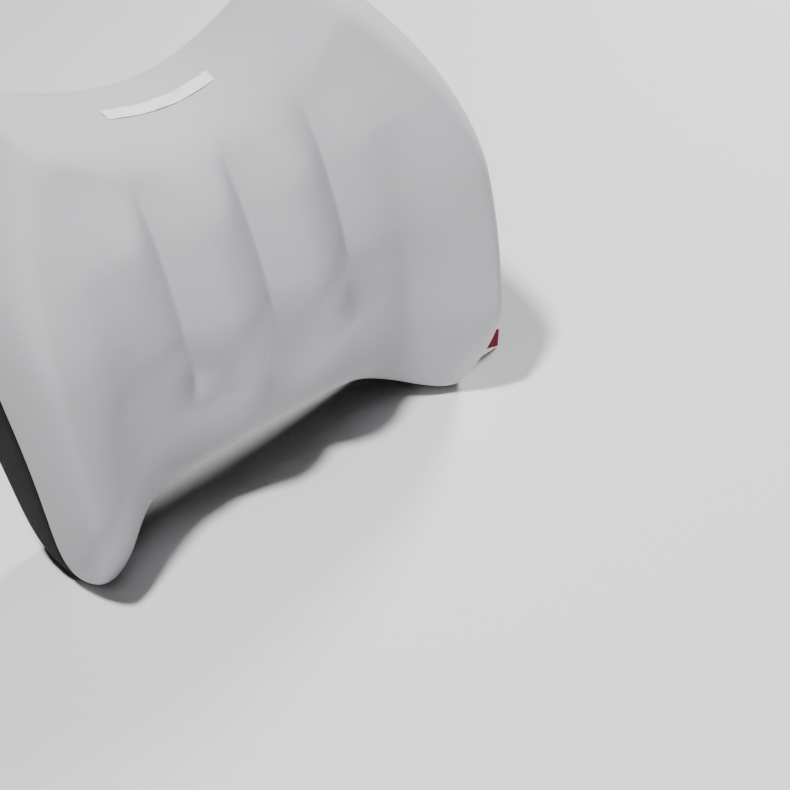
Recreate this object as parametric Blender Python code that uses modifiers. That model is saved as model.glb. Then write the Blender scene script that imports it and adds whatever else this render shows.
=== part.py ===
"""Lumbar support cushion for a chair back, with its zip and its strap.

Metres. X runs across the cushion, -Y faces the sitter, +Y faces the chair back
and Z is up. The sizes give heights above the feet; the finished model is
lowered by BACK_REST_HEIGHT, so that the origin lies on the back panel.
"""

import math

import bmesh
import bpy
import numpy as np
from mathutils import Matrix, Vector
from mathutils.bvhtree import BVHTree

# ---- clearances and cloth ----
GAP = 0.0003
COVER = 0.0012
LINER = 0.0006

# ---- outline of the widest ring, seen from the front, right half ----
HALF_WIDTH = 0.1838
HEIGHT = 0.3527
WIDEST_HEIGHT = 0.2394
SHOULDER_X = 0.1185
SHOULDER_END_X = 0.1473
SHOULDER_DROP = 0.0249
DIP_DROP = 0.0370
DIP_FLANK_X = 0.0685
DIP_FLANK_DROP = 0.0202
LOWER_SIDE_X = 0.1802
LOWER_SIDE_HEIGHT = 0.0941
FOOT_OUTER_X = 0.1700
FOOT_OUTER_HEIGHT = 0.0150
FOOT_X = 0.1445
FOOT_INNER_X = 0.0860
FOOT_INNER_HEIGHT = 0.0310
ARCH_FLANK_X = 0.0303
ARCH_FLANK_HEIGHT = 0.0474
ARCH_HEIGHT = 0.0487
FOOT_FLAT = 0.003

# ---- depth of the front from the back plane: (height above the feet, depth) ----
CENTRE_DEPTH = ((0.000, 0.0803), (0.062, 0.0754), (0.124, 0.1004), (0.196, 0.1261), (0.258, 0.1175),
                (0.309, 0.0900), (0.412, 0.0400))
WING_DEPTH = ((0.000, 0.0770), (0.103, 0.1370), (0.206, 0.1430), (0.309, 0.1100), (0.412, 0.0650))
WING_START = 0.0522
WING_END = 0.1753
VALLEY_DEPTH = ((0.0, 0.0270), (0.124, 0.0186), (0.268, 0.0))
VALLEY_X = 0.0972
VALLEY_WIDTH = 0.0288
EDGE_ROUND = ((0.0, 0.0210), (0.090, 0.0220), (0.200, 0.0260), (0.280, 0.0320), (0.353, 0.0360))
JOIN_POWER = 3.0
RIM_POWER = 2.0
REAR_INSET = 0.014
REAR_ROUND = ((0.0, 0.0383), (0.309, 0.0102))
SEAM_DEPTH = ((0.0, 0.0540), (0.150, 0.0780), (0.260, 0.0600), (0.330, 0.0300))
SEAM_MARGIN = 0.012
TOP_SEAM_START = 0.15
TOP_SEAM_END = 0.75
TOP_SEAM_TURN = 36.0

# ---- back ----
BACK_REST_HEIGHT = 0.112
ZIP_HEIGHT = 0.155
ZIP_LENGTH = 0.240
ZIP_WINDOW = 0.014
COIL_WIDTH = 0.0025
COIL_BELOW = 0.0011
COIL_ABOVE = 0.0009
TAPE = 0.0006
TAPE_SUNK = 0.0004
SLIDER_LENGTH = 0.012
SLIDER_WIDTH = 0.010
SLIDER_PLATE = 0.0010
BRIDGE_RISE = 0.0024
BRIDGE_BAR = 0.0007
BRIDGE_POST = 0.0010
PULL_EYE = 0.0024
PULL_LENGTH = 0.026
PULL_WIDTH = 0.006
PULL_THICKNESS = 0.0012
STOP_LENGTH = 0.002

# ---- strap and buckle ----
STRAP_HEIGHT = 0.225
STRAP_WIDTH = 0.038
STRAP_THICKNESS = 0.0018
STRAP_REACH = 0.161
STRAP_TAB = 0.020
STRAP_STRAIGHT = 0.100
STRAP_STAND_OFF = 0.015
BUCKLE_WIDTH = 0.050
BUCKLE_THICKNESS = 0.010
BUCKLE_PLATE = 0.0020
HOUSING_LENGTH = 0.033
MOUTH_X = 0.010
WINDOW_LENGTH = 0.018
CAVITY_LENGTH = 0.026
BLOCK_LENGTH = 0.013
RAIL_LENGTH = 0.013
BAR_THICKNESS = 0.003
BAR_SLOT = 0.007
TONGUE_LENGTH = 0.020
TONGUE_WIDTH = 0.010
ARM_LENGTH = 0.022
ARM_INNER = 0.0145
ARM_ROOT = 0.004
EAR_REACH = 0.0245
RELEASE_TRAVEL = 0.024
FOLD_LENGTH = 0.032
TAIL_LENGTH = 0.078

# ---- small trim ----
LABEL_WIDTH = 0.044
LABEL_HEIGHT = 0.026
LABEL_X = 0.118
TAG_ANGLE = -38.0
TAG_LENGTH = 0.014
TAG_REACH = 0.034
TAG_THICKNESS = 0.0010
MARK_X = -0.011
MARK_WIDTH = 0.080
MARK_TURN = (27.0, 36.0)
MARK_THICKNESS = 0.0003

# ---- mesh fineness ----
COLUMNS = 56
FIELD_ROWS = 6
EDGE_ROWS = 4
REAR_ROWS = 4
BACK_ROWS = 2
FIELD_START = 75.0
BACK_START = 60.0

for old in list(bpy.data.objects):
    bpy.data.objects.remove(old, do_unlink=True)

NODES = bpy.data.collections.new("lumbar_support_cushion")
CUTTERS = bpy.data.collections.new("cutters")
bpy.context.scene.collection.children.link(NODES)
bpy.context.scene.collection.children.link(CUTTERS)


# ---- curves ----
def profile(pairs, at):
    """Smooth curve through (place, value) pairs that never overshoots them."""
    places, values = np.array(pairs).T
    step = np.diff(places)
    slope = np.diff(values) / step
    ease = np.zeros(len(places))
    same = slope[:-1] * slope[1:] > 0
    one, two = 2 * step[1:] + step[:-1], step[1:] + 2 * step[:-1]
    ease[1:-1][same] = (one + two)[same] / (one[same] / slope[:-1][same] + two[same] / slope[1:][same])
    ease[0], ease[-1] = slope[0], slope[-1]
    at = np.clip(at, places[0], places[-1])
    k = np.clip(np.searchsorted(places, at) - 1, 0, len(step) - 1)
    u = (at - places[k]) / step[k]
    return (
        values[k] * (1 + 2 * u) * (1 - u) ** 2
        + values[k + 1] * u * u * (3 - 2 * u)
        + step[k] * (ease[k] * u * (1 - u) ** 2 - ease[k + 1] * u * u * (1 - u))
    )


def rim(angle):
    """Point and outward normal of the widest ring at each angle, seen from the front."""
    half = (
        (90, 0.0, HEIGHT - DIP_DROP),
        (72, DIP_FLANK_X, HEIGHT - DIP_FLANK_DROP),
        (54, SHOULDER_X, HEIGHT),
        (36, SHOULDER_END_X, HEIGHT - SHOULDER_DROP),
        (8, HALF_WIDTH, WIDEST_HEIGHT),
        (-18, LOWER_SIDE_X, LOWER_SIDE_HEIGHT),
        (-40, FOOT_OUTER_X, FOOT_OUTER_HEIGHT),
        (-52, FOOT_X, 0.0),
        (-63, FOOT_INNER_X, FOOT_INNER_HEIGHT),
        (-76, ARCH_FLANK_X, ARCH_FLANK_HEIGHT),
        (-90, 0.0, ARCH_HEIGHT),
    )
    keys = np.array(half[::-1] + tuple((180 - a, -x, z) for a, x, z in half[1:-1]))
    knots, points = np.radians(keys[:, 0]), keys[:, 1:]
    count = len(knots)
    step = np.diff(np.r_[knots, knots[0] + 2 * math.pi])
    rise = np.roll(points, -1, 0) - points
    before = np.roll(step, 1)
    system = np.diag(2 / before + 2 / step)
    for k in range(count):
        system[k, k - 1] += 1 / before[k]
        system[k, (k + 1) % count] += 1 / step[k]
    pull = 3 * (np.roll(rise, 1, 0) / before[:, None] ** 2 + rise / step[:, None] ** 2)
    ease = np.linalg.solve(system, pull)
    at = (np.asarray(angle) - knots[0]) % (2 * math.pi) + knots[0]
    k = np.clip(np.searchsorted(knots, at, "right") - 1, 0, count - 1)
    n = (k + 1) % count
    h = step[k][:, None]
    u = (at - knots[k])[:, None] / h
    place = (
        points[k] * (1 + 2 * u) * (1 - u) ** 2
        + points[n] * u * u * (3 - 2 * u)
        + h * (ease[k] * u * (1 - u) ** 2 - ease[n] * u * u * (1 - u))
    )
    along = (
        6 * u * (1 - u) * (points[n] - points[k]) / h
        + ease[k] * (1 - u) * (1 - 3 * u)
        + ease[n] * u * (3 * u - 2)
    )
    along /= np.linalg.norm(along, axis=1, keepdims=True)
    return place, np.stack([along[:, 1], -along[:, 0]], -1)


def front_depth(x, z):
    """Depth of the front before its edge is rounded: centre, wings and the valley between."""
    side = np.abs(x)
    share = np.clip((side - WING_START) / (WING_END - WING_START), 0, 1)
    share = share * share * (3 - 2 * share)
    valley = profile(VALLEY_DEPTH, z) * np.exp(-(((side - VALLEY_X) / VALLEY_WIDTH) ** 2))
    return profile(CENTRE_DEPTH, z) * (1 - share) + profile(WING_DEPTH, z) * share - valley


def edge_share(inside):
    """Share of the full depth reached this far, from 0 to 1, into the rounded front edge."""
    left = 1 - np.clip(inside, 0, 1)
    return (1 - left**JOIN_POWER) ** (1 / RIM_POWER)


def front_point(x, z, share):
    """Surface point of the front at this share of the full depth."""
    rear = profile(REAR_ROUND, z)
    return np.stack([x, -(rear + (front_depth(x, z) - rear) * share), z], -1)


def rear_point(x, z, inset):
    """Surface point of the rounded rear edge and the flat back."""
    left = 1 - np.clip(inset / REAR_INSET, 0, 1)
    return np.stack([x, -profile(REAR_ROUND, z) * (1 - np.sqrt(1 - left**2)), z], -1)


# ---- body: rings of points from the middle of the front to the middle of the back ----
class Ring:
    """The widest ring at given angles, and the surfaces drawn in from it along spokes."""

    def __init__(self, angle):
        self.place, self.normal = rim(angle)
        self.spoke = self.place - (0.0, HEIGHT / 2)
        self.reach = (self.spoke * self.normal).sum(1)
        self.up = np.clip(self.normal[:, 1], 0, 1)
        self.width = profile(EDGE_ROUND, self.place[:, 1])
        self.rear = profile(REAR_ROUND, self.place[:, 1])
        self.depth = front_depth(*self.place.T)

    def inward(self, inset):
        """x and z this far in from the widest ring, measured square to it."""
        return ((1 - inset / self.reach)[:, None] * self.spoke + (0.0, HEIGHT / 2)).T

    def front(self, inset):
        return front_point(*self.inward(inset), edge_share(inset / self.width))

    def back(self, inset):
        return rear_point(*self.inward(inset), inset)

    def edge(self, turn):
        """Inset at this turn from the widest ring toward the front."""
        return self.width * (1 - np.cos(turn) ** (2 / JOIN_POWER))

    def skin(self, turn):
        """Points at this turn from the widest ring: above 0 to the front, below 0 to the back."""
        turn = turn + 0 * self.reach
        front, back = self.front(self.edge(turn)), self.back(REAR_INSET * (1 - np.cos(turn)))
        return np.where((turn >= 0)[:, None], front, back)

    def seam(self):
        """Turn at which the cover meets the gusset; along the top it goes over to the back."""
        deep = np.minimum(profile(SEAM_DEPTH, self.place[:, 1]), self.depth - SEAM_MARGIN)
        turn = np.arcsin(np.clip((deep - self.rear) / (self.depth - self.rear), 0, 1) ** (RIM_POWER / 2))
        share = np.clip((self.up - TOP_SEAM_START) / (TOP_SEAM_END - TOP_SEAM_START), 0, 1)
        share = share * share * (3 - 2 * share)
        return turn * (1 - share) - math.radians(TOP_SEAM_TURN) * share

    def gap(self, turn):
        """The turns half a seam gap before and after this one."""
        pace = np.linalg.norm(self.skin(turn + 0.01) - self.skin(turn - 0.01), axis=1) / 0.02
        return [turn + GAP / 2 / pace, turn - GAP / 2 / pace]


def body_rings(angle):
    """All rings, and the names of the rings where the cloth pieces meet."""
    ring = Ring(angle)
    start, stop = math.radians(FIELD_START), -math.radians(BACK_START)
    first = ring.edge(start)
    rings, marks = [], {}
    for k in range(1, FIELD_ROWS + 1):
        rings.append(ring.front(ring.reach - (ring.reach - first) * k / FIELD_ROWS))
    cut, rear = ring.gap(ring.seam()), ring.gap(stop + 0 * ring.reach)
    turns = [start + (cut[0] - start) * k / (EDGE_ROWS + 1) for k in range(1, EDGE_ROWS + 1)] + cut
    marks["seam"] = FIELD_ROWS + EDGE_ROWS + 1
    turns += [cut[1] + (rear[0] - cut[1]) * k / REAR_ROWS for k in range(1, REAR_ROWS)] + rear
    marks["rear"] = FIELD_ROWS + len(turns)
    rings += [ring.skin(turn) for turn in turns]
    for k in range(BACK_ROWS + 1, 0, -1):
        rings.append(ring.back(ring.reach - (ring.reach - REAR_INSET) * k / (BACK_ROWS + 1)))
    return rings, marks


def body():
    """The cushion's outer surface as one closed mesh, with each point's ring and column kept."""
    even = np.arange(COLUMNS) * 2 * math.pi / COLUMNS
    angle = even - 0.25 * np.cos(even) - 0.08 * np.cos(3 * even)
    rings, marks = body_rings(angle)
    bm = bmesh.new()
    bmesh.ops.create_uvsphere(bm, u_segments=COLUMNS, v_segments=len(rings) + 1, radius=1.0)
    ring_of, column_of = bm.verts.layers.int.new("ring"), bm.verts.layers.int.new("column")
    for vert in bm.verts:
        ring = round(math.acos(max(-1.0, min(1.0, vert.co.z))) / math.pi * (len(rings) + 1))
        column = round(math.atan2(vert.co.y, vert.co.x) / (2 * math.pi) * COLUMNS) % COLUMNS
        vert[ring_of], vert[column_of] = ring, column
        if ring == 0:
            point = front_point(np.zeros(1), np.full(1, HEIGHT / 2), 1.0)[0]
        elif ring > len(rings):
            point = (0.0, 0.0, HEIGHT / 2)
        else:
            point = rings[ring - 1][column]
        vert.co = Vector(point)
    for vert in bm.verts:
        vert.co.z = max(vert.co.z, FOOT_FLAT) - FOOT_FLAT
    bmesh.ops.triangulate(bm, faces=bm.faces)
    bmesh.ops.recalc_face_normals(bm, faces=bm.faces)
    bm.normal_update()
    return bm, marks


# ---- building blocks ----
def material(name, colour, roughness, metallic=0.0):
    made = bpy.data.materials.new(name)
    made.use_nodes = True
    shader = made.node_tree.nodes["Principled BSDF"]
    shader.inputs["Base Color"].default_value = (*colour, 1.0)
    shader.inputs["Roughness"].default_value = roughness
    shader.inputs["Metallic"].default_value = metallic
    return made


def node(name, bm, finish, origin=(0.0, 0.0, 0.0)):
    """A finished piece in the model's collection, with its origin where it turns or slides."""
    mesh = bpy.data.meshes.new(name)
    bm.to_mesh(mesh)
    bm.free()
    made = bpy.data.objects.new(name, mesh)
    mesh.transform(Matrix.Translation(-Vector(origin)))
    made.location = Vector(origin) - Vector((0, 0, BACK_REST_HEIGHT))
    made.data.materials.append(material(name, *finish))
    NODES.objects.link(made)
    return made


def block(low, high):
    """Plain box between two corners."""
    bm = bmesh.new()
    bmesh.ops.create_cube(bm, size=1.0)
    low, high = Vector(low), Vector(high)
    size = high - low
    for vert in bm.verts:
        vert.co = Vector([c * s for c, s in zip(vert.co, size)]) + (low + high) / 2
    return bm


def prism(outline, y_low, y_high):
    """Outline in X and Z made solid between two depths."""
    bm = bmesh.new()
    face = bm.faces.new([bm.verts.new((x, y_low, z)) for x, z in outline])
    grown = bmesh.ops.extrude_face_region(bm, geom=[face])["geom"]
    for item in grown:
        if isinstance(item, bmesh.types.BMVert):
            item.co.y = y_high
    bmesh.ops.recalc_face_normals(bm, faces=bm.faces)
    return bm


def rod(radius, z_low, z_high, x, y, sides=16):
    """Upright round bar."""
    bm = bmesh.new()
    place = Matrix.Translation((x, y, (z_low + z_high) / 2))
    bmesh.ops.create_cone(bm, cap_ends=True, segments=sides, radius1=radius, radius2=radius,
                          depth=z_high - z_low, matrix=place)
    return bm


def cut(target, bm, operation):
    """Boolean one more shape into or out of a piece; bm is in the sizes' own heights."""
    tool = bpy.data.meshes.new("cutter")
    bm.to_mesh(tool)
    bm.free()
    made = bpy.data.objects.new("cutter_" + target.name, tool)
    made.location = (0, 0, -BACK_REST_HEIGHT)
    made.hide_render = True
    made.display_type = "WIRE"
    CUTTERS.objects.link(made)
    step = target.modifiers.new(operation.lower(), "BOOLEAN")
    step.object, step.operation, step.solver = made, operation, "EXACT"


def bevel(target, width):
    step = target.modifiers.new("edges", "BEVEL")
    step.width, step.segments, step.limit_method = width, 1, "ANGLE"


# ---- cloth layers and foam ----
def sunk(base, depth):
    """Copy of the body's surface, moved inward; both lips of a gap between cloths move alike."""
    bm = base.copy()
    bm.normal_update()
    ring_of, column_of = bm.verts.layers.int["ring"], bm.verts.layers.int["column"]
    partner = {SEAM: SEAM + 1, SEAM + 1: SEAM, REAR - 1: REAR, REAR: REAR - 1}
    ways = {(vert[ring_of], vert[column_of]): vert.normal.copy() for vert in bm.verts}
    for vert in bm.verts:
        other = ways.get((partner.get(vert[ring_of]), vert[column_of]), vert.normal)
        vert.co -= (ways[vert[ring_of], vert[column_of]] + other).normalized() * depth
    return bm


def layer(base, keep, depth, thickness):
    """Closed shell of cloth over the faces that keep(rings, columns) accepts."""
    outer, inner = sunk(base, depth), sunk(base, depth + thickness)
    ring_of, column_of = outer.verts.layers.int["ring"], outer.verts.layers.int["column"]
    outer.verts.index_update()
    under = [vert.co.copy() for vert in inner.verts]
    inner.free()
    dropped = [
        face for face in outer.faces
        if not keep([v[ring_of] for v in face.verts], [v[column_of] for v in face.verts])
    ]
    places = {vert: under[vert.index] for vert in outer.verts}
    bmesh.ops.delete(outer, geom=dropped, context="FACES")
    tops = list(outer.faces)
    hems = [edge for edge in outer.edges if edge.is_boundary]
    twins = {vert: outer.verts.new(places[vert]) for vert in list(outer.verts)}
    for face in tops:
        outer.faces.new([twins[vert] for vert in reversed(face.verts)])
    for edge in hems:
        face = edge.link_faces[0]
        order = list(face.verts)
        a, b = edge.verts
        if order[(order.index(a) + 1) % len(order)] is not b:
            a, b = b, a
        outer.faces.new((b, a, twins[a], twins[b]))
    bmesh.ops.recalc_face_normals(outer, faces=outer.faces)
    return outer


KNIT = ((0.53, 0.53, 0.56), 0.85)
MESH = ((0.018, 0.020, 0.019), 0.9)
BLACK = ((0.012, 0.012, 0.013), 0.45)
WEBBING = ((0.014, 0.014, 0.015), 0.8)

BODY, MARKS = body()
SEAM, REAR = MARKS["seam"], MARKS["rear"]
LAST = max(vert[BODY.verts.layers.int["ring"]] for vert in BODY.verts)

node("foam_core", sunk(BODY, COVER + LINER + 2 * GAP), ((0.86, 0.82, 0.70), 0.95))


def liner_faces(rings, columns):
    """All of the body but the slit behind the zip, where the foam goes in."""
    across = max(abs(column - 0.75 * COLUMNS) for column in columns)
    return not (min(rings) == LAST - 2 and max(rings) == LAST - 1 and across < COLUMNS / 7)


node("inner_liner", layer(BODY, liner_faces, COVER + GAP, LINER), ((0.80, 0.80, 0.79), 0.9))
front_cover = node("front_cover", layer(BODY, lambda r, c: max(r) <= SEAM, 0.0, COVER), KNIT)
node("side_gusset", layer(BODY, lambda r, c: min(r) > SEAM and max(r) < REAR, 0.0, COVER), MESH)

window_half = ZIP_LENGTH / 2 + STOP_LENGTH + 2 * GAP + TAPE
for piece, side in (("back_panel_upper", 1), ("back_panel_lower", -1)):
    panel = node(piece, layer(BODY, lambda r, c: min(r) >= REAR, 0.0, COVER), MESH)
    low, high = ZIP_HEIGHT + side * GAP / 2, ZIP_HEIGHT + side * HEIGHT
    cut(panel, block((-HALF_WIDTH, -HEIGHT, min(low, high)),
                     (HALF_WIDTH, HEIGHT, max(low, high))), "INTERSECT")
    edge = ZIP_HEIGHT + side * ZIP_WINDOW / 2
    low, high = ZIP_HEIGHT - side * ZIP_WINDOW, edge
    cut(panel, block((-window_half, -HEIGHT, min(low, high)),
                     (window_half, HEIGHT, max(low, high))), "DIFFERENCE")

# ---- zip ----
for word, side in (("upper", 1), ("lower", -1)):
    inner = GAP / 2 + COIL_WIDTH + GAP
    zs = sorted((ZIP_HEIGHT + side * inner, ZIP_HEIGHT + side * (ZIP_WINDOW / 2 - GAP)))
    node("zip_tape_" + word, block((GAP - window_half, -TAPE_SUNK - TAPE, zs[0]),
                                   (window_half - GAP, -TAPE_SUNK, zs[1])), WEBBING)
    zs = sorted((ZIP_HEIGHT + side * GAP / 2, ZIP_HEIGHT + side * (GAP / 2 + COIL_WIDTH)))
    node("zip_coil_" + word, block((-ZIP_LENGTH / 2, -COIL_BELOW, zs[0]),
                                   (ZIP_LENGTH / 2, COIL_ABOVE, zs[1])), BLACK)
for word, side in (("left", -1), ("right", 1)):
    xs = sorted(side * (ZIP_LENGTH / 2 + GAP + extra) for extra in (0.0, STOP_LENGTH))
    half = GAP / 2 + COIL_WIDTH
    node("zip_stop_" + word, block((xs[0], -COIL_BELOW, ZIP_HEIGHT - half),
                                   (xs[1], COIL_ABOVE, ZIP_HEIGHT + half)), ((0.55, 0.55, 0.56), 0.35, 1.0))

METAL = ((0.05, 0.05, 0.055), 0.35, 1.0)
slider_x = ZIP_LENGTH / 2 - GAP - SLIDER_LENGTH / 2
plate_low = COIL_ABOVE + GAP
plate_high = plate_low + SLIDER_PLATE
bar_y = plate_high + BRIDGE_RISE
post = PULL_EYE / 2 + GAP
inner = GAP / 2 + COIL_WIDTH + GAP
plate = block((slider_x - SLIDER_LENGTH / 2, GAP - TAPE_SUNK, ZIP_HEIGHT - SLIDER_WIDTH / 2),
              (slider_x + SLIDER_LENGTH / 2, plate_high, ZIP_HEIGHT + SLIDER_WIDTH / 2))
slider = node("zip_slider", plate, METAL, origin=(slider_x, 0.0, ZIP_HEIGHT))
cut(slider, block((slider_x - SLIDER_LENGTH, -SLIDER_WIDTH, ZIP_HEIGHT - inner),
                  (slider_x + SLIDER_LENGTH, plate_low, ZIP_HEIGHT + inner)), "DIFFERENCE")
for side in (-1, 1):
    zs = sorted((ZIP_HEIGHT + side * post, ZIP_HEIGHT + side * (post + BRIDGE_POST)))
    cut(slider, block((slider_x - BRIDGE_POST, plate_low + SLIDER_PLATE / 2, zs[0]),
                      (slider_x + BRIDGE_POST, bar_y + BRIDGE_POST, zs[1])), "UNION")
bar_end = post + BRIDGE_POST / 2
cut(slider, rod(BRIDGE_BAR, ZIP_HEIGHT - bar_end, ZIP_HEIGHT + bar_end, slider_x, bar_y), "UNION")

eye_inner = BRIDGE_BAR + GAP
eye_outer = eye_inner + PULL_THICKNESS / 2
neck = slider_x - 2.2 * eye_outer
half = PULL_THICKNESS / 2
eye = rod(eye_outer, ZIP_HEIGHT - PULL_EYE / 2, ZIP_HEIGHT + PULL_EYE / 2, slider_x, bar_y)
pull = node("zip_pull", eye, METAL, origin=(slider_x, bar_y, ZIP_HEIGHT))
cut(pull, block((neck - half, bar_y - half, ZIP_HEIGHT - PULL_EYE / 2),
                (slider_x, bar_y + half, ZIP_HEIGHT + PULL_EYE / 2)), "UNION")
cut(pull, block((slider_x - PULL_LENGTH, bar_y - half, ZIP_HEIGHT - PULL_WIDTH / 2),
                (neck, bar_y + half, ZIP_HEIGHT + PULL_WIDTH / 2)), "UNION")
cut(pull, rod(eye_inner, ZIP_HEIGHT - PULL_WIDTH, ZIP_HEIGHT + PULL_WIDTH, slider_x, bar_y), "DIFFERENCE")

# ---- strap ----
leg = BAR_THICKNESS / 2 + GAP + STRAP_THICKNESS / 2
lying = GAP + STRAP_THICKNESS / 2
bar_x = MOUTH_X + GAP + BLOCK_LENGTH + BAR_SLOT + BAR_THICKNESS / 2


def ribbon(name, path, origin=(0.0, 0.0, 0.0)):
    """Webbing that follows points in X and Y."""
    bm = bmesh.new()
    low, high = STRAP_HEIGHT - STRAP_WIDTH / 2, STRAP_HEIGHT + STRAP_WIDTH / 2
    pairs = [(bm.verts.new((x, y, low)), bm.verts.new((x, y, high))) for x, y in path]
    for (a, b), (c, d) in zip(pairs, pairs[1:]):
        bm.faces.new((a, c, d, b))
    made = node(name, bm, WEBBING, origin)
    step = made.modifiers.new("webbing", "SOLIDIFY")
    step.thickness, step.offset, step.use_even_offset = STRAP_THICKNESS, 0.0, True
    return made


def rise(side, height, steps=12):
    """Tab sewn flat on the back panel, then an easy bend up to the straight middle."""
    points = [(side * STRAP_REACH, lying)]
    start, stop = STRAP_REACH - STRAP_TAB, STRAP_STRAIGHT
    for k in range(steps + 1):
        u = k / steps
        points.append((side * (start + (stop - start) * u), lying + (height - lying) * u * u * (3 - 2 * u)))
    return points


def wrap(side, steps=8):
    """Half turn around a buckle bar, from the outer leg to the inner one."""
    turns = [math.pi * k / steps for k in range(steps + 1)]
    return [(side * (bar_x - leg * math.sin(t)), STRAP_STAND_OFF + leg * math.cos(t)) for t in turns]


female_end = -(bar_x + FOLD_LENGTH)
ribbon("strap_left", rise(-1, STRAP_STAND_OFF + leg) + wrap(-1) + [(female_end, STRAP_STAND_OFF - leg)])
sandwich = bar_x + leg + STRAP_THICKNESS + RELEASE_TRAVEL
ribbon("strap_right", rise(1, STRAP_STAND_OFF) + [(sandwich, STRAP_STAND_OFF)])
ribbon("strap_loop", [(bar_x + TAIL_LENGTH, STRAP_STAND_OFF + leg)] + wrap(1)
       + [(bar_x + FOLD_LENGTH + GAP, STRAP_STAND_OFF - leg)], origin=(0.0, STRAP_STAND_OFF, STRAP_HEIGHT))

# ---- buckle ----
y0, z0 = STRAP_STAND_OFF, STRAP_HEIGHT
thick, wide = BUCKLE_THICKNESS / 2, BUCKLE_WIDTH / 2
slot = STRAP_WIDTH / 2 + 4 * GAP
ORIGIN = (0.0, y0, z0)


def bar_frame(target, side, body_x):
    """Two side rails and the bar that the webbing goes around."""
    rail_end = body_x + side * RAIL_LENGTH
    inside = body_x - side * thick / 2
    for up in (-1, 1):
        zs, xs = sorted((z0 + up * slot, z0 + up * wide)), sorted((inside, rail_end))
        cut(target, block((xs[0], y0 - thick * 0.6, zs[0]), (xs[1], y0 + thick * 0.6, zs[1])), "UNION")
    reach = (slot + wide) / 2
    cut(target, rod(BAR_THICKNESS / 2, z0 - reach, z0 + reach, side * bar_x, y0), "UNION")


housing_x = MOUTH_X - HOUSING_LENGTH
housing = block((housing_x, y0 - thick, z0 - wide), (MOUTH_X, y0 + thick, z0 + wide))
female = node("buckle_female", housing, BLACK, ORIGIN)
bevel(female, 0.0012)
bar_frame(female, -1, housing_x)
hollow = thick - BUCKLE_PLATE
deep = z0 - wide + 2 * BUCKLE_PLATE, z0 + wide - 2 * BUCKLE_PLATE
cut(female, block((MOUTH_X - CAVITY_LENGTH, y0 - hollow, deep[0]),
                  (MOUTH_X + thick, y0 + hollow, deep[1])), "DIFFERENCE")
cut(female, block((MOUTH_X - WINDOW_LENGTH, y0 - hollow, z0 - 2 * wide),
                  (MOUTH_X + thick, y0 + hollow, z0 + 2 * wide)), "DIFFERENCE")

block_x = MOUTH_X + GAP
male = node("buckle_male", block((block_x, y0 - thick * 0.8, z0 - wide),
                                 (block_x + BLOCK_LENGTH, y0 + thick * 0.8, z0 + wide)), BLACK, ORIGIN)
bevel(male, 0.0012)
bar_frame(male, 1, block_x + BLOCK_LENGTH)
tongue = hollow - 2 * GAP
cut(male, block((block_x - TONGUE_LENGTH, y0 - tongue, z0 - TONGUE_WIDTH / 2),
                (block_x + BLOCK_LENGTH / 2, y0 + tongue, z0 + TONGUE_WIDTH / 2)), "UNION")

root_x = MOUTH_X
for word, side in (("upper", 1), ("lower", -1)):
    shape = (
        (root_x, ARM_INNER),
        (root_x - ARM_LENGTH, ARM_INNER),
        (root_x - ARM_LENGTH, ARM_INNER + ARM_ROOT * 0.7),
        (root_x - WINDOW_LENGTH + 4 * GAP, EAR_REACH - ARM_ROOT),
        (root_x - WINDOW_LENGTH + 4 * GAP, EAR_REACH),
        (root_x - WINDOW_LENGTH / 2, EAR_REACH),
        (root_x - WINDOW_LENGTH / 4, ARM_INNER + ARM_ROOT),
        (root_x, ARM_INNER + ARM_ROOT),
    )
    pivot = (root_x - ARM_ROOT / 4, y0, z0 + side * (ARM_INNER + ARM_ROOT / 2))
    arm = prism([(x, z0 + side * z) for x, z in shape], y0 - tongue, y0 + tongue)
    node("latch_arm_" + word, arm, BLACK, pivot)

# ---- labels and mark ----
label_low = ZIP_HEIGHT + ZIP_WINDOW / 2 + 2 * GAP
label = block((LABEL_X - LABEL_WIDTH / 2, GAP, label_low),
              (LABEL_X + LABEL_WIDTH / 2, GAP + LINER / 2, label_low + LABEL_HEIGHT))
node("care_label", label, ((0.8, 0.8, 0.8), 0.8))

spot, away = (pair[0] for pair in rim(np.radians([TAG_ANGLE])))
turn = math.atan2(away[1], away[0])
tag_y = -float(profile(SEAM_DEPTH, spot[1]))
bm = block((2 * GAP, tag_y - TAG_THICKNESS / 2, -TAG_LENGTH / 2),
           (2 * GAP + TAG_REACH, tag_y + TAG_THICKNESS / 2, TAG_LENGTH / 2))
bmesh.ops.rotate(bm, verts=bm.verts, cent=(0, 0, 0), matrix=Matrix.Rotation(-turn, 3, "Y"))
bmesh.ops.translate(bm, verts=bm.verts, vec=(spot[0], 0.0, spot[1] - FOOT_FLAT))
node("side_tag", bm, ((0.55, 0.02, 0.05), 0.7))

tree = BVHTree.FromBMesh(BODY)
bm = bmesh.new()
bmesh.ops.create_grid(bm, x_segments=14, y_segments=4, size=0.5)
top = np.radians(np.linspace(60, 120, 241))
for vert in bm.verts:
    angle = np.interp(-MARK_X - vert.co.x * MARK_WIDTH, -rim(top)[0][:, 0], top)
    low, high = np.radians(MARK_TURN)
    turn = (low + high) / 2 + (low - high) * vert.co.y
    ring = Ring(np.array([angle]))
    place, near = (Vector(ring.skin(turn + step)[0]) for step in (0.0, 0.01))
    away = (place - near).cross(Vector((1, 0, 0))).normalized()
    away *= math.copysign(1.0, away.z)
    hit, facing = tree.ray_cast(place - Vector((0, 0, FOOT_FLAT)) + away * MARK_WIDTH, -away)[:2]
    vert.co = hit + facing * (2 * GAP + MARK_THICKNESS / 2)
mark = node("transfer_mark", bm, ((0.9, 0.9, 0.9), 0.5))
step = mark.modifiers.new("film", "SOLIDIFY")
step.thickness, step.offset = MARK_THICKNESS, 0.0
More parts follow.
